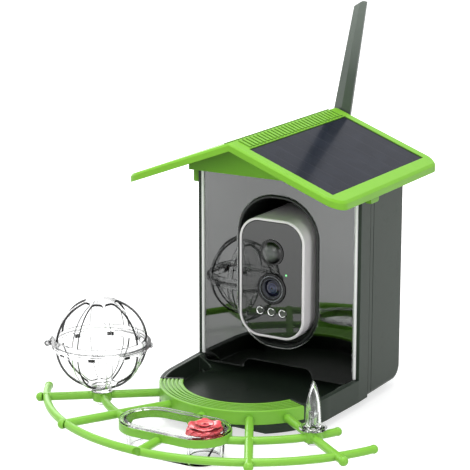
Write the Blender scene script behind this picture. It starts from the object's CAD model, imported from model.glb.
"""Smart bird feeder: a green-roofed feeder house with a camera in its window, a seed tray,
a web of green perch rods, and a clear ball cage, cup and fruit spike clipped onto the rods.
"""
import math

import bmesh
import bpy
from mathutils import Matrix, Vector


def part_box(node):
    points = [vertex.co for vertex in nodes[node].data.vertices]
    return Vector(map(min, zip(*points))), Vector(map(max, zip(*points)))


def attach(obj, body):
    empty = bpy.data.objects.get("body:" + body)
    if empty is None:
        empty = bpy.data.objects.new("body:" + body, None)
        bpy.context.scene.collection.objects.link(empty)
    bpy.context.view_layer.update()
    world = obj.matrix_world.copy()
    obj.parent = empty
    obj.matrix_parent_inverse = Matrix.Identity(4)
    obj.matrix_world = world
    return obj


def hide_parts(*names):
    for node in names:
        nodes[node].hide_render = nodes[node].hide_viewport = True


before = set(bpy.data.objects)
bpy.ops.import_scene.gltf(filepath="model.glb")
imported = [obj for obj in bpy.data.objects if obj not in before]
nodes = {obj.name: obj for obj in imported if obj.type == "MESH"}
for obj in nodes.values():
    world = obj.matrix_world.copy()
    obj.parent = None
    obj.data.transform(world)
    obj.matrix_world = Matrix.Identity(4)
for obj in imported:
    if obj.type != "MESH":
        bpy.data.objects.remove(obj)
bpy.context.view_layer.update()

# Camera of the photograph: to the feeder's front right and a little above it, with a long lens,
# which keeps the house's upright edges nearly upright.
eye = bpy.data.objects.new("eye", bpy.data.cameras.new("eye"))
bpy.context.scene.collection.objects.link(eye)
eye_place, looked_at = Vector((0.6662, -1.2281, 0.4722)), Vector((-0.0912, 0.0548, 0.0952))
eye.data.lens = 143.28
eye.data.sensor_width = 36
eye.data.clip_end = 20
eye.location = eye_place
eye.rotation_euler = (looked_at - eye_place).to_track_quat("-Z", "Y").to_euler()
bpy.context.scene.camera = eye
bpy.context.scene.view_settings.view_transform = "Standard"


# Studio: one wide soft light high over the roof, weaker ones at both sides and in front, and a
# white surround for the eye, for mirrors and through glass, while the fill stays a plain grey.
def wire(tree, *ends):
    """Link each output to the input that follows it."""
    for out, into in ends:
        tree.links.new(out, into)


def set_on(node, **sockets):
    """Give a node's sockets their plain values."""
    for socket, value in sockets.items():
        node.inputs[socket.replace("_", " ")].default_value = value
    return node


def node_of(tree, kind, operation=None, **sockets):
    """A new node of one kind, with its operation and its plain values."""
    node = tree.nodes.new("ShaderNode" + kind)
    if operation:
        node.operation = operation
    return set_on(node, **sockets)


def blend_of(tree, first, second, factor):
    """A colour that goes from the first to the second with the factor."""
    mix = node_of(tree, "Mix")
    mix.data_type = "RGBA"
    for socket, colour in (("A", first), ("B", second)):
        if isinstance(colour, tuple):
            mix.inputs[socket].default_value = (*colour, 1)
        else:
            wire(tree, (colour, mix.inputs[socket]))
    wire(tree, (factor, mix.inputs["Factor"]))
    return mix.outputs["Result"]


def watched(tree):
    """1 for rays from the eye, from a mirror and through glass, 0 for light that fills shadows."""
    path = node_of(tree, "LightPath")
    total = path.outputs["Is Camera Ray"]
    for ray in ("Is Glossy Ray", "Is Transmission Ray"):
        most = node_of(tree, "Math", "MAXIMUM")
        wire(tree, (total, most.inputs[0]), (path.outputs[ray], most.inputs[1]))
        total = most.outputs[0]
    return total


world = bpy.data.worlds.new("studio")
world.use_nodes = True
bpy.context.scene.world = world
tree = world.node_tree
grey_fill, pure_white = (0.40, 0.41, 0.42), (1, 1, 1)
seen = blend_of(tree, grey_fill, pure_white, watched(tree))
wire(tree, (seen, tree.nodes["Background"].inputs["Color"]))

for name, place, aim, size, power, tint in (
    ("overhead", (-0.1, -0.10, 1.5), (0, -0.06, 0.1), 1.0, 18.5, (1, 0.99, 0.98)),
    ("front", (0.5, -1.5, 0.9), (0, -0.05, 0.1), 0.8, 8, (1, 1, 1)),
    ("right", (1.4, -0.5, 0.45), (0, -0.05, 0.12), 0.7, 4, (1, 1, 1)),
    ("left", (-1.3, -0.7, 0.6), (0, -0.05, 0.1), 0.8, 4, (0.97, 0.98, 1)),
    ("behind", (-1.2, 0.9, 0.5), (0, 0, 0.15), 0.8, 5, (1, 1, 1)),
):
    lamp = bpy.data.objects.new(name, bpy.data.lights.new(name, "AREA"))
    lamp.data.size = size
    lamp.data.energy = power
    lamp.data.color = tint
    lamp.location = place
    lamp.rotation_euler = (Vector(aim) - Vector(place)).to_track_quat("-Z", "Y").to_euler()
    bpy.context.scene.collection.objects.link(lamp)


# Floor: matt white board, grey only where the feeder shades it. Further out it runs to pure
# white, through a glow that the eye, mirrors and glass see and that lights nothing.
def spot_of(tree):
    """A point's own place on its piece."""
    return node_of(tree, "TexCoord").outputs["Object"]


def ranged(tree, value, start, end, first=0, last=1):
    """A value carried from the range start to end over to the range first to last."""
    carried = node_of(tree, "MapRange", From_Min=start, From_Max=end, To_Min=first, To_Max=last)
    wire(tree, (value, carried.inputs["Value"]))
    return carried.outputs["Result"]


def product(tree, first, second):
    """Two values multiplied."""
    times = node_of(tree, "Math", "MULTIPLY")
    wire(tree, (first, times.inputs[0]), (second, times.inputs[1]))
    return times.outputs[0]


def inside(material):
    """A material's node tree and its shader."""
    return material.node_tree, material.node_tree.nodes["Principled BSDF"]


def bare(name):
    """A new material, its node tree and its shader."""
    material = bpy.data.materials.new(name)
    material.use_nodes = True
    return (material, *inside(material))


half_side, shaded_to, white_from, shade_tone = 8, 0.2, 0.7, 0.66
floor_mesh = bmesh.new()
bmesh.ops.create_grid(floor_mesh, x_segments=1, y_segments=1, size=half_side)
floor = bpy.data.objects.new("floor", bpy.data.meshes.new("floor"))
floor_mesh.to_mesh(floor.data)
floor_mesh.free()
bpy.context.scene.collection.objects.link(floor)
board, tree, matt = bare("white_board")
set_on(matt, Base_Color=(0.62, 0.62, 0.62, 1), Roughness=1, Specular_IOR_Level=0)
far = node_of(tree, "VectorMath", "LENGTH")
fade = ranged(tree, far.outputs["Value"], shaded_to, white_from, shade_tone)
fade.node.interpolation_type = "SMOOTHSTEP"
glow = node_of(tree, "Emission")
both = node_of(tree, "AddShader")
wire(tree, (spot_of(tree), far.inputs[0]), (product(tree, fade, watched(tree)), glow.inputs["Strength"]),
     (matt.outputs["BSDF"], both.inputs[0]), (glow.outputs["Emission"], both.inputs[1]),
     (both.outputs["Shader"], tree.nodes["Material Output"].inputs["Surface"]))
floor.data.materials.append(board)


# Rear shell, front frame and mounting plate: injection-moulded ABS in a dark green-grey, with a
# fine spark-eroded grain and slightly rounded corners, screwed together from below and behind.
def effect(name, given, handed):
    """An effect that several materials use: what it is given, with defaults, and hands out."""
    group = bpy.data.node_groups.new(name, "ShaderNodeTree")
    for socket, value in given.items():
        number = group.interface.new_socket(socket, in_out="INPUT", socket_type="NodeSocketFloat")
        number.default_value = value
    for socket in handed:
        kind = "NodeSocketVector" if socket == "Normal" else "NodeSocketFloat"
        group.interface.new_socket(socket, in_out="OUTPUT", socket_type=kind)
    return group, group.nodes.new("NodeGroupInput"), group.nodes.new("NodeGroupOutput")


def placed(tree, group, **sockets):
    """An effect in a material, with the material's own values."""
    node = node_of(tree, "Group")
    node.node_tree = group
    return set_on(node, **sockets)


def cloud(tree, scale, detail=2, **sockets):
    """Noise over the piece."""
    noise = node_of(tree, "TexNoise", Scale=scale, Detail=detail, **sockets)
    wire(tree, (spot_of(tree), noise.inputs["Vector"]))
    return noise.outputs["Fac"]


def corner_of(tree, radius, flat, sharp):
    """The normal of a rounded edge, and how far the edge turns there, from flat, 0, to sharp, 1."""
    round_edge = node_of(tree, "Bevel")
    round_edge.samples = 6
    turn = node_of(tree, "VectorMath", "DOT_PRODUCT")
    wire(tree, (radius, round_edge.inputs["Radius"]), (round_edge.outputs["Normal"], turn.inputs[0]),
         (node_of(tree, "NewGeometry").outputs["Normal"], turn.inputs[1]))
    return round_edge.outputs["Normal"], ranged(tree, turn.outputs["Value"], flat, sharp)


grain, given, handed = effect("moulded_grain",
                              {"Scale": 900, "Depth": 0.15, "Edge": 0.0006, "Shelter": 0.004},
                              ("Normal", "Mottle", "Scuff", "Worn", "Crevice"))
fine = cloud(grain, 900, 3)
scratch = cloud(grain, 140, 6, Distortion=1.5)
rounded, turned = corner_of(grain, given.outputs["Edge"], 0.99, 0.78)
bump = node_of(grain, "Bump", Distance=0.0002)
open_sky = node_of(grain, "AmbientOcclusion")
open_sky.samples = 8
wire(grain, (given.outputs["Scale"], fine.node.inputs["Scale"]), (fine, bump.inputs["Height"]),
     (given.outputs["Depth"], bump.inputs["Strength"]), (rounded, bump.inputs["Normal"]),
     (given.outputs["Shelter"], open_sky.inputs["Distance"]),
     (bump.outputs["Normal"], handed.inputs["Normal"]),
     (cloud(grain, 26, 5, Roughness=0.6), handed.inputs["Mottle"]),
     (ranged(grain, scratch, 0.6, 0.8), handed.inputs["Scuff"]),
     (product(grain, turned, scratch), handed.inputs["Worn"]),
     (ranged(grain, open_sky.outputs["AO"], 0.95, 0.35), handed.inputs["Crevice"]))


def moulded(name, dark, light, rough, scale=900, depth=0.15, edge=0.0006, coat=0.0, shine=0.5, worn=1.5,
            shelter=0.003, crease=0.6):
    """A moulded plastic: two close shades, grained, paler along its edges, darker in its creases."""
    material, tree, shader = bare(name)
    scuffed = min(1, rough + 0.14)
    pale = tuple(min(1, tone * worn) for tone in light)
    deep = tuple(tone * crease for tone in dark)
    surface = placed(tree, grain, Scale=scale, Depth=depth, Edge=edge, Shelter=shelter)
    skin = blend_of(tree, dark, light, surface.outputs["Mottle"])
    rubbed = blend_of(tree, skin, pale, surface.outputs["Worn"])
    wire(tree, (blend_of(tree, rubbed, deep, surface.outputs["Crevice"]), shader.inputs["Base Color"]),
         (ranged(tree, surface.outputs["Scuff"], 0, 1, rough, scuffed), shader.inputs["Roughness"]),
         (surface.outputs["Normal"], shader.inputs["Normal"]))
    set_on(shader, Coat_Weight=coat, Coat_Roughness=0.08, Specular_IOR_Level=shine)
    return material


def finish(material, *names):
    """Give CAD nodes their material."""
    for name in names:
        nodes[name].data.materials.clear()
        nodes[name].data.materials.append(material)


finish(moulded("shell_plastic", (0.019, 0.030, 0.020), (0.029, 0.043, 0.030), 0.36, depth=0.12, shine=0.16),
       "rear_shell", "front_frame", "mounting_plate")

# Seed liner: near-black floor of hopper and tray, one polypropylene moulding with a satin skin,
# dropped in from above before the window goes in.
finish(moulded("liner_plastic", (0.0095, 0.0150, 0.0100), (0.019, 0.028, 0.020), 0.34, depth=0.06,
               edge=0.0018, shine=0.32, worn=5), "seed_liner")

# Camera pod: black oblong tunnel through the hopper, in satin ABS, whose front rim stands a
# little proud behind the window. It is held by four screws from behind.
pod = moulded("pod_plastic", (0.011, 0.013, 0.012), (0.020, 0.023, 0.021), 0.28, shine=0.3)
finish(pod, "camera_pod")

# Window: a clear acrylic sheet, polished enough to mirror the perch and the ball in front of it,
# slid in behind the rails. Its cut edge catches the light.
cut, given, handed = effect("polished_edge", {"Radius": 0.0005}, ("Edge", "Haze", "Normal"))
rounded, turned = corner_of(cut, given.outputs["Radius"], 0.97, 0.84)
caught = ranged(cut, cloud(cut, 70), 0.36, 0.50, 0.35)
wire(cut, (product(cut, turned, caught), handed.inputs["Edge"]), (rounded, handed.inputs["Normal"]),
     (ranged(cut, cloud(cut, 45, 5), 0, 1, 0.01, 0.06), handed.inputs["Haze"]))

window_sheet, tree, sheet = bare("window_acrylic")
sheet.inputs["Metallic"].default_value = 1
veil = cloud(tree, 9)
sawn = placed(tree, cut, Radius=0.0015)
smoke = blend_of(tree, (0.135, 0.138, 0.136), (0.185, 0.188, 0.186), veil)
wire(tree, (ranged(tree, cloud(tree, 60, 6), 0.4, 0.9, 0.01, 0.08), sheet.inputs["Roughness"]),
     (ranged(tree, veil, 0.3, 0.7, 0.72, 0.8), sheet.inputs["Alpha"]),
     (blend_of(tree, smoke, (0.75, 0.78, 0.76), sawn.outputs["Edge"]), sheet.inputs["Base Color"]),
     (sawn.outputs["Normal"], sheet.inputs["Normal"]))
finish(window_sheet, "window")

# Window rails: slim glossy bars of white ABS, pressed into the front frame on both sides of the
# window, which hold the sheet's edges.
finish(moulded("rail_plastic", (0.86, 0.87, 0.86), (0.93, 0.94, 0.93), 0.18, depth=0.04, coat=0.4,
               crease=0.93), "window_rails")


# Screws, antenna nut, pins and charging port: zinc-plated steel, turned, with a faint brushed
# ring. The mounting plate's insert is knurled brass, pressed in, and the antenna's threaded socket
# is of the same brass.
def metal(name, colour, tarnish, rough):
    """A turned metal, a little duller and darker in patches."""
    material, tree, shader = bare(name)
    shader.inputs["Metallic"].default_value = 1
    rings = cloud(tree, 1400)
    bump = node_of(tree, "Bump", Strength=0.1, Distance=0.0001)
    wire(tree, (blend_of(tree, colour, tarnish, cloud(tree, 220, 4)), shader.inputs["Base Color"]),
         (ranged(tree, rings, 0, 1, rough, rough + 0.2), shader.inputs["Roughness"]),
         (rings, bump.inputs["Height"]), (bump.outputs["Normal"], shader.inputs["Normal"]))
    return material


finish(metal("plated_steel", (0.66, 0.66, 0.67), (0.50, 0.50, 0.50), 0.22), "pod_screws", "base_screws",
       "perch_screws", "camera_screws", "antenna_nut", "antenna_pin", "cage_pin", "charge_port")
finish(metal("insert_brass", (0.80, 0.59, 0.26), (0.62, 0.42, 0.18), 0.25), "threaded_insert",
       "antenna_socket")

# Perch: one polypropylene moulding in leaf green, clipped and screwed over the tray's front,
# satin from the mould and a little darker where the rods meet.
finish(moulded("perch_green", (0.185, 0.475, 0.037), (0.25, 0.57, 0.060), 0.34, depth=0.06, edge=0.0009,
               coat=0.1, shine=0.3, worn=1.3, crease=0.75), "perch")

# Roof: bright green weatherproof ABS, moulded with its ridge ribs, gable board and side tabs in
# one piece, which snaps onto catches at the sides of the shell.
finish(moulded("roof_green", (0.176, 0.450, 0.024), (0.226, 0.54, 0.038), 0.38, depth=0.08, edge=0.0009,
               coat=0.02, shine=0.20, worn=1.2, shelter=0.02, crease=0.42), "roof_shell")


# Solar panel: dark cells with hairline bus bars behind a satin laminated sheet, on a black foam
# seal in the roof's pocket; the lead leaves through a rubber grommet.
def measured(tree, axis):
    """How far along one axis a point of the piece is."""
    split = node_of(tree, "SeparateXYZ")
    wire(tree, (spot_of(tree), split.inputs["Vector"]))
    return split.outputs[axis]


finish(moulded("solar_cell", (0.008, 0.009, 0.016), (0.016, 0.017, 0.026), 0.3), "solar_cells")
bar_spacing, bar_core, bar_edge = 0.0087, 0.00012, 0.0003
panel, tree, skin = bare("solar_sheet")
set_on(skin, Coat_Weight=0.058, Coat_Roughness=0.05, Specular_IOR_Level=0.05)
bars = node_of(tree, "Math", "PINGPONG")
bars.inputs[1].default_value = bar_spacing
flake = node_of(tree, "TexVoronoi", Scale=90)
silicon = blend_of(tree, (0.008, 0.0105, 0.019), (0.014, 0.0175, 0.029), flake.outputs["Color"])
bar = ranged(tree, bars.outputs[0], bar_core, bar_edge, 1, 0)
wire(tree, (measured(tree, "Y"), bars.inputs[0]), (spot_of(tree), flake.inputs["Vector"]),
     (ranged(tree, cloud(tree, 30, 4), 0, 1, 0.12, 0.26), skin.inputs["Roughness"]),
     (blend_of(tree, silicon, (0.026, 0.027, 0.036), bar), skin.inputs["Base Color"]))
finish(panel, "solar_cover")
rubber = moulded("black_rubber", (0.010, 0.010, 0.010), (0.020, 0.020, 0.020), 0.6, depth=0.1, shine=0.3)
finish(rubber, "solar_seal", "lead_grommet")


# Camera housing: white satin sleeve and rear cover, and a glossy near-black face plate set into
# the bezel, which mirrors the tray and the cage. The corners are drawn tighter than in the frame,
# and the crescent in the pod that the camera slides on follows them.
merged = 1e-6


def settled(name, mesh, sharp=180):
    """Close a finished mesh, turn its faces outwards and make it an object of the feeder."""
    bmesh.ops.remove_doubles(mesh, verts=mesh.verts, dist=merged)
    bmesh.ops.recalc_face_normals(mesh, faces=mesh.faces)
    for part in mesh.faces:
        part.smooth = True
    for part in mesh.edges:
        part.smooth = len(part.link_faces) == 2 and part.calc_face_angle(0) < math.radians(sharp)
    piece = bpy.data.objects.new(name, bpy.data.meshes.new(name))
    mesh.to_mesh(piece.data)
    mesh.free()
    bpy.context.scene.collection.objects.link(piece)
    return piece


low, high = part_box("camera_body")
camera_middle = (Vector(low) + Vector(high)) / 2
soft_corner, tight_corner = 0.0205, 0.0174
drawn = soft_corner - tight_corner
whole_depth, still_depth, same_depth = 0.0035, 0.010, 0.0001
slide_gap = 0.0003


def tightened(name, node, body, material, skin=None):
    """A piece for a CAD node of the camera, its outline's corners drawn out to the tighter radius.

    Points down to the whole depth behind the outline move in full, and those past the still
    depth don't. Where a skin is given, only the points at that depth move.
    """
    mesh = bmesh.new()
    mesh.from_mesh(nodes[node].data)
    bmesh.ops.remove_doubles(mesh, verts=mesh.verts, dist=merged)
    for vert in mesh.verts:
        off = vert.co - camera_middle
        corner = Vector((abs(off.x) - (high[0] - low[0]) / 2, abs(off.z) - (high[2] - low[2]) / 2))
        corner += Vector((soft_corner, soft_corner))
        depth = soft_corner - corner.length
        if min(corner) <= 0 or depth > still_depth or skin is not None and abs(depth - skin) > same_depth:
            continue
        along = corner.normalized()
        slant = drawn * (along.x + along.y)
        reach = corner.length / max(along)
        if reach * min(along) > drawn:
            reach = slant + math.sqrt(slant ** 2 - 2 * drawn ** 2 + (corner.length - drawn) ** 2)
        ease = min(1, (still_depth - depth) / (still_depth - whole_depth))
        grow = along * (reach - corner.length) * ease ** 2 * (3 - 2 * ease)
        vert.co += Vector((math.copysign(grow.x, off.x), 0, math.copysign(grow.y, off.z)))
    piece = settled(name, mesh, 30)
    piece.modifiers.new("even_shading", "WEIGHTED_NORMAL").keep_sharp = True
    piece.data.materials.append(material)
    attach(piece, body)
    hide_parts(node)


white = moulded("camera_white", (0.83, 0.79, 0.815), (0.90, 0.865, 0.885), 0.34, depth=0.05, coat=0.1,
                worn=1.05)
face = moulded("camera_dark", (0.009, 0.0105, 0.0095), (0.015, 0.017, 0.0155), 0.3, depth=0.0, coat=1.0,
               shine=0.1)
set_on(inside(face)[1], Coat_IOR=1.62, Coat_Roughness=0.02)
tightened("camera_sleeve", "camera_body", "camera", white)
tightened("camera_cover", "camera_back", "camera", white)
tightened("face_plate", "camera_face", "camera", face)
tightened("slide_crescent", "camera_cradle", "house", pod, -slide_gap)

# Camera's back: a flap over the charging port, which bends on its own thin hinge, and a soft
# power button that travels in its hole, both of the same black rubber as the panel's seal.
finish(rubber, "port_flap", "power_button")


# Motion sensor: a milky dark dome of polyethylene, pressed with small lens facets and darker
# towards its rim, snapped into the face plate from behind.
def front_of(low, high):
    """The middle of a box's front face."""
    return Vector(((low[0] + high[0]) / 2, low[1], (low[2] + high[2]) / 2))


def away_from(tree, place):
    """How far a point of the piece is from a place."""
    off = node_of(tree, "VectorMath", "DISTANCE")
    off.inputs[1].default_value = place
    wire(tree, (spot_of(tree), off.inputs[0]))
    return off.outputs["Value"]


def tinted(material, colour, factor):
    """Lay a colour over a material's own, as strongly as the factor says."""
    tree, shader = inside(material)
    own = shader.inputs["Base Color"].links[0].from_socket
    wire(tree, (blend_of(tree, own, colour, factor), shader.inputs["Base Color"]))


dome = moulded("sensor_dome", (0.085, 0.093, 0.088), (0.11, 0.12, 0.113), 0.3, depth=0.0, coat=0.3,
               shine=0.3)
tree, shader = inside(dome)
facets = node_of(tree, "TexVoronoi", Scale=420)
press = node_of(tree, "Bump", Strength=0.25, Distance=0.0004)
wire(tree, (spot_of(tree), facets.inputs["Vector"]), (facets.outputs["Distance"], press.inputs["Height"]),
     (press.outputs["Normal"], shader.inputs["Normal"]))
low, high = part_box("pir_lens")
rim_starts, rim_full = 0.0040, 0.0076
rim = ranged(tree, away_from(tree, front_of(low, high)), rim_starts, rim_full)
tinted(dome, (0.002, 0.0025, 0.0022), rim)
finish(dome, "pir_lens")


# Lens: black outer ring, a thin dark chrome trim and a black barrel; the front glass is coated,
# so it shows dark blue rings round a small pupil, and a grooved baffle sits in front of it.
def millimetres(*profile):
    """A profile of (radius, along) points in metres, from millimetres."""
    return [(radius / 1000, along / 1000) for radius, along in profile]


def ringed(name, profile, centre, axis, sweep=360, gap=0):
    """A turned ring: a closed profile of (radius, along) points spun round an axis."""
    mesh = bmesh.new()
    side = axis.orthogonal().normalized()
    side.rotate(Matrix.Rotation(math.radians(gap), 3, axis))
    points = [mesh.verts.new(centre + side * radius + axis * along) for radius, along in profile]
    loop = [mesh.edges.new((points[i - 1], points[i])) for i in range(len(points))]
    swept = bmesh.ops.spin(mesh, geom=points + loop, cent=centre, axis=axis, angle=math.radians(sweep),
                           steps=64, use_merge=sweep == 360)
    if sweep < 360:
        bmesh.ops.contextual_create(mesh, geom=loop)
        bmesh.ops.contextual_create(mesh, geom=[part for part in swept["geom_last"]
                                                if isinstance(part, bmesh.types.BMEdge)])
    return settled(name, mesh, 40)


black = moulded("lens_black", (0.003, 0.003, 0.004), (0.006, 0.006, 0.007), 0.2, depth=0.02, coat=0.2,
                shine=0.25)
finish(black, "lens_ring", "lens_barrel")
finish(metal("trim_silver", (0.20, 0.21, 0.22), (0.12, 0.13, 0.14), 0.12), "lens_trim")
glass = moulded("coated_glass", (0.006, 0.009, 0.024), (0.014, 0.020, 0.055), 0.04, depth=0.0, coat=0.5,
                shine=0.2)
low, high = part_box("lens_glass")
lens_centre = front_of(low, high)
tree, shader = inside(glass)
coating = node_of(tree, "ValToRGB")
rings = coating.color_ramp.elements
rings[0].color, rings[1].color = (0.005, 0.006, 0.014, 1), (0.002, 0.002, 0.004, 1)
for place, colour in (
    (0.14, (0.004, 0.005, 0.012)), (0.17, (0.035, 0.045, 0.11)), (0.30, (0.020, 0.026, 0.070)),
    (0.34, (0.050, 0.060, 0.125)), (0.38, (0.014, 0.018, 0.048)), (0.56, (0.022, 0.028, 0.075)),
    (0.60, (0.060, 0.068, 0.120)), (0.64, (0.006, 0.007, 0.016)), (0.84, (0.010, 0.012, 0.030)),
):
    rings.new(place).color = (*colour, 1)
outwards = ranged(tree, away_from(tree, lens_centre), 0, (high[0] - low[0]) / 2)
wire(tree, (outwards, coating.inputs["Fac"]), (coating.outputs["Color"], shader.inputs["Base Color"]))
finish(glass, "lens_glass")
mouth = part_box("lens_barrel")[0][1]
baffle = ringed("lens_baffle", millimetres(
    (6.9, 0.05), (7.7, 0.05), (7.7, 2.6), (6.5, 2.6), (6.5, 1.4), (6.75, 1.2), (6.75, 0.9), (6.62, 0.75),
    (6.9, 0.5)), Vector((lens_centre.x, mouth, lens_centre.z)), Vector((0, 1, 0)))
baffle.data.materials.append(metal("baffle_black", (0.065, 0.068, 0.08), (0.035, 0.037, 0.045), 0.25))
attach(baffle, "camera")

# Infrared lamps: three dark acrylic domes in a row below the lens, each held by a bright split
# ring of steel wire sprung into the face plate.
finish(moulded("lamp_dark", (0.03, 0.03, 0.032), (0.05, 0.05, 0.052), 0.08, coat=0.8), "ir_lenses")
low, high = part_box("ir_lenses")
lamp_radius = (high[2] - low[2]) / 2
ring_radius, wire_radius, wire_sides = lamp_radius * 0.78, 0.00042, 10
sweep, gap, proud = 285, 75, 0.0001
spring = metal("spring_silver", (0.93, 0.93, 0.93), (0.78, 0.78, 0.79), 0.08)
for number, place in enumerate((low[0] + lamp_radius, (low[0] + high[0]) / 2, high[0] - lamp_radius)):
    wire_round = [(ring_radius + wire_radius * math.cos(math.tau * i / wire_sides),
                   wire_radius * math.sin(math.tau * i / wire_sides)) for i in range(wire_sides)]
    middle = Vector((place, low[1] - proud, (low[2] + high[2]) / 2))
    ring = ringed("lamp_ring_%d" % number, wire_round, middle, Vector((0, 1, 0)), sweep, gap)
    ring.data.materials.append(spring)
    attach(ring, "camera")

# Status light: a light pipe of green-tinted acrylic pressed into the face plate beside the lens,
# lit from behind, so it is brightest in the middle.
lit = moulded("green_light", (0.02, 0.30, 0.06), (0.05, 0.45, 0.10), 0.2, coat=0.4)
tree, shader = inside(lit)
low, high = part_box("status_light")
core = ranged(tree, away_from(tree, front_of(low, high)), 0.0003, 0.0009)
wire(tree, (blend_of(tree, (0.45, 1.0, 0.55), (0.01, 0.35, 0.05), core), shader.inputs["Emission Color"]))
shader.inputs["Emission Strength"].default_value = 0.9
finish(lit, "status_light")

# Inside the camera: a green circuit board behind the face plate, and battery cells in blue
# shrink wrap, which sit in the black holder in front of the rear cover.
finish(moulded("board_green", (0.02, 0.12, 0.05), (0.03, 0.18, 0.08), 0.3), "camera_board")
finish(moulded("cell_wrap", (0.04, 0.16, 0.38), (0.06, 0.22, 0.48), 0.25), "battery_cells")
finish(black, "battery_holder")

# Antenna: dark green-grey blade and elbow, semi-gloss and sun-bleached towards the tip, on the
# threaded socket at the back.
blade = moulded("antenna_plastic", (0.058, 0.073, 0.062), (0.084, 0.100, 0.087), 0.3, depth=0.1, coat=0.2)
low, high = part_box("antenna_blade")
tree = blade.node_tree
tinted(blade, (0.125, 0.150, 0.128), ranged(tree, measured(tree, "Z"), (low[2] + high[2]) / 2, high[2]))
finish(blade, "antenna_base", "antenna_blade")


# Ball cage and cup: clear polycarbonate about 1.5 mm thick, moulded and polished, which looks
# dark in its cut edges and where the wall turns away. The cage's halves hinge on a pin, and it
# plugs into a socket of the perch, as the cup sits in the perch's ring.
def polished(name, tint, radius, bend=1.45, middle=None):
    """A clear polished plastic whose cut edges go dark: on a ball, every face that isn't round it."""
    material, tree, shader = bare(name)
    shadow = (0.0, 0.0, 0.0)
    edge = placed(tree, cut, Radius=radius)
    body = blend_of(tree, tint, shadow, edge.outputs["Edge"])
    if middle is not None:
        out = node_of(tree, "VectorMath", "SUBTRACT")
        out.inputs[1].default_value = middle
        ray = node_of(tree, "VectorMath", "NORMALIZE")
        lean = node_of(tree, "VectorMath", "DOT_PRODUCT")
        flat = node_of(tree, "Math", "ABSOLUTE")
        level = node_of(tree, "VectorMath", "MULTIPLY")
        level.inputs[1].default_value = (1, 1, 0)
        wide = node_of(tree, "VectorMath", "LENGTH")
        wire(tree, (spot_of(tree), out.inputs[0]), (out.outputs["Vector"], ray.inputs[0]),
             (ray.outputs["Vector"], lean.inputs[0]), (lean.outputs["Value"], flat.inputs[0]),
             (node_of(tree, "NewGeometry").outputs["Normal"], lean.inputs[1]),
             (out.outputs["Vector"], level.inputs[0]), (level.outputs["Vector"], wide.inputs[0]))
        facing_out, facing_aside, stem_radius, hinge_reach = 0.9, 0.6, 0.010, 0.0375
        sawn = ranged(tree, flat.outputs[0], facing_out, facing_aside, 0, 0.95)
        off_stem = ranged(tree, wide.outputs["Value"], stem_radius - 0.001, stem_radius + 0.001)
        off_hinge = ranged(tree, wide.outputs["Value"], hinge_reach + 0.0003, hinge_reach - 0.0003, 0.25)
        body = blend_of(tree, body, shadow, product(tree, product(tree, sawn, off_stem), off_hinge))
    away = node_of(tree, "LayerWeight", Blend=0.25)
    steep = node_of(tree, "Math", "POWER")
    steep.inputs[1].default_value = 2
    wire(tree, (away.outputs["Facing"], steep.inputs[0]), (edge.outputs["Haze"], shader.inputs["Roughness"]),
         (blend_of(tree, body, shadow, steep.outputs[0]), shader.inputs["Base Color"]))
    set_on(shader, IOR=bend, Transmission_Weight=1)
    return material


low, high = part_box("cage_upper")
flange_radius, lip_height = 0.0367, 0.0022
cage_middle = Vector((high[0] - flange_radius, (low[1] + high[1]) / 2,
                      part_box("cage_lower")[1][2] - lip_height))
finish(polished("clear_cage", (0.985, 0.99, 0.99), 0.0009, middle=cage_middle), "cage_lower", "cage_upper")
finish(polished("clear_cup", (0.98, 0.985, 0.985), 0.0013, bend=1.1), "nectar_cup")


# Slot pads: eight smoked rubber pads pressed into the slots of the cage's lower band, which keep
# the two halves from rattling.
def block(mesh, size, reach, turn, place):
    """A block of one size, set out by a reach, turned about the upright, and put in its place."""
    fresh = bmesh.ops.create_cube(mesh, size=1)["verts"]
    bmesh.ops.scale(mesh, vec=size, verts=fresh)
    bmesh.ops.translate(mesh, vec=(reach, 0, 0), verts=fresh)
    bmesh.ops.rotate(mesh, cent=(0, 0, 0), matrix=Matrix.Rotation(math.radians(turn), 3, "Z"), verts=fresh)
    bmesh.ops.translate(mesh, vec=place, verts=fresh)


def blunted(name, mesh, radius):
    """Blocks with every edge rounded, as an object of the feeder."""
    bmesh.ops.bevel(mesh, geom=mesh.edges[:], offset=radius, segments=2, profile=0.5, affect="EDGES",
                    material=-1)
    return settled(name, mesh, 50)


pad_count, first_pad, pad_size, pad_round = 8, -67.5, (0.0013, 0.0045, 0.0026), 0.0003
band_radius, pad_drop = 0.03365, 0.0026
pads = bmesh.new()
for number in range(pad_count):
    block(pads, pad_size, band_radius, first_pad + 360 / pad_count * number,
          cage_middle - Vector((0, 0, pad_drop)))
pads = blunted("cage_pads", pads, pad_round)
pads.data.materials.append(moulded("smoked_rubber", (0.008, 0.008, 0.008), (0.05, 0.05, 0.05), 0.5,
                                   scale=1500, shine=0.1))
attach(pads, "cage_bottom")

# Fruit spike: clear hollow bullet with a thick wall, a flange and a plug, moulded in one, with two
# crossed ribs inside its foot that stiffen it. It plugs into its own socket on the perch.
low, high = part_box("fruit_spike")
spike_place = Vector(((low[0] + high[0]) / 2, (low[1] + high[1]) / 2, 0))
spike = ringed("spike_shell", millimetres(
    (2.85, 11.0), (4.0, 11.0), (4.15, 11.2), (4.15, 22.3), (9.6, 22.3), (10.0, 22.7), (10.0, 23.4),
    (9.5, 24.0), (6.3, 24.1), (5.7, 24.5), (5.55, 26.5), (5.45, 31), (5.2, 36), (4.8, 41), (4.15, 45.5),
    (3.3, 49.5), (2.3, 53), (1.3, 55.9), (0.6, 57.0), (0, 57.25), (0, 53.0), (0.8, 51.6), (1.9, 48.4),
    (2.8, 44.6), (3.45, 40.4), (3.85, 35.8), (4.1, 31), (4.2, 26.5), (4.1, 24.6), (2.85, 23.6)),
    spike_place, Vector((0, 0, 1)))
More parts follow.
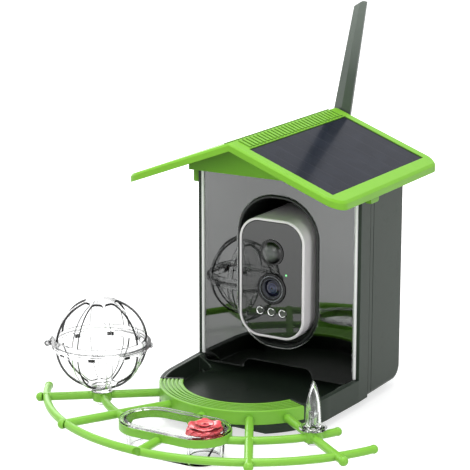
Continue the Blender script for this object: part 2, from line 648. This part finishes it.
rib_size, rib_height, rib_round = (0.0076, 0.0009, 0.0105), 0.0298, 0.00025
ribs = bmesh.new()
for turn in (0, 90):
    block(ribs, rib_size, 0, turn, spike_place + Vector((0, 0, rib_height)))
ribs = blunted("spike_ribs", ribs, rib_round)
clear_spike = polished("clear_spike", (0.97, 0.98, 0.975), 0.0004)
for piece in (spike, ribs):
    piece.data.materials.append(clear_spike)
    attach(piece, "spike")
    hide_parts("fruit_spike")


# Flower port: soft red silicone in two ragged tiers of petals round a pale heart, with a hollow
# plug below that seals in the nectar tank.
def petals(mesh, tint, count, start, root, reach, width, foot, rise, droop, cup):
    """One tier of petals, each a grid drawn out to a petal that cups, rises and frays."""
    for number in range(count):
        fresh = bmesh.ops.create_grid(mesh, x_segments=8, y_segments=8, size=1)["verts"]
        heading = math.radians(start + 360 * number / count)
        for vert in fresh:
            along, across = (vert.co.x + 1) / 2, vert.co.y
            fray = 0.05 * math.sin(7 * across + 2.3 * number) * along
            out = root + (reach - root) * along * (1 - 0.16 * across ** 2 + fray)
            side = width * across * math.sin(math.pi * (0.2 + 0.5 * along))
            lift = foot + rise * along ** 1.3 - droop * max(0, along - 0.6) ** 2 + cup * across ** 2 * along
            vert[tint] = along * (0.75 + 0.25 * abs(across))
            vert.co = (out * math.cos(heading) - side * math.sin(heading),
                       out * math.sin(heading) + side * math.cos(heading), lift)


low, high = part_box("flower_cap")
off_centre = 0.00055
flower_place = Vector(((low[0] + high[0]) / 2 - off_centre, (low[1] + high[1]) / 2, 0))
flower = bmesh.new()
tint = flower.verts.layers.float.new("tint")
# Each tier: petals, first heading, then root, tip, half width, foot, rise, droop and cup in metres.
petals(flower, tint, 6, 12, 0.0050, 0.0136, 0.0080, 0.0234, 0.0010, 0.030, 0.0000)
petals(flower, tint, 6, 42, 0.0045, 0.0132, 0.0080, 0.0237, 0.0012, 0.024, 0.0002)
petals(flower, tint, 5, 13, 0.0010, 0.0116, 0.0078, 0.0246, 0.0029, 0.014, 0.0013)
petals(flower, tint, 4, 30, 0.0006, 0.0066, 0.0046, 0.0252, 0.0022, 0.004, 0.0007)
bmesh.ops.translate(flower, vec=flower_place, verts=flower.verts)
flower = settled("flower_petals", flower)
shell = flower.modifiers.new("thickness", "SOLIDIFY")
shell.thickness = 0.0007
soft = flower.modifiers.new("soft", "SUBSURF")
soft.levels = soft.render_levels = 1
silicone = moulded("flower_red", (0.80, 0.070, 0.095), (0.90, 0.125, 0.140), 0.30, depth=0.05, edge=0.0003,
                   coat=0.3)
tree, shader = inside(silicone)
mark = node_of(tree, "Attribute")
mark.attribute_name = "tint"
tinted(silicone, (0.97, 0.40, 0.34), ranged(tree, mark.outputs["Fac"], 0.56, 0.15, 0, 0.85))
tinted(silicone, (0.50, 0.022, 0.035), ranged(tree, mark.outputs["Fac"], 0.93, 1.0, 0, 0.75))
set_on(shader, Subsurface_Weight=0.15, Subsurface_Radius=(0.004, 0.001, 0.001), Subsurface_Scale=1)
flower.data.materials.append(silicone)
stem = ringed("flower_stem", millimetres(
    (1.2, 22.1), (10.2, 22.1), (11.2, 22.5), (11.2, 23.1), (8.0, 23.6), (4.2, 24.8), (2.8, 26.2),
    (1.2, 26.5)), flower_place, Vector((0, 0, 1)))
stem.data.materials.append(moulded("stem_red", (0.55, 0.035, 0.06), (0.66, 0.05, 0.08), 0.35, depth=0.05,
                                   coat=0.2))
plug = ringed("flower_plug", millimetres(
    (9.6, 18.0), (10.7, 18.0), (11.0, 18.6), (11.0, 19.4), (10.7, 20.0), (11.0, 20.6), (11.0, 21.4),
    (10.8, 22.2), (9.6, 22.2)), flower_place, Vector((0, 0, 1)))
plug.data.materials.append(stem.data.materials[0])
for piece in (flower, stem, plug):
    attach(piece, "flower")
    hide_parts("flower_cap")
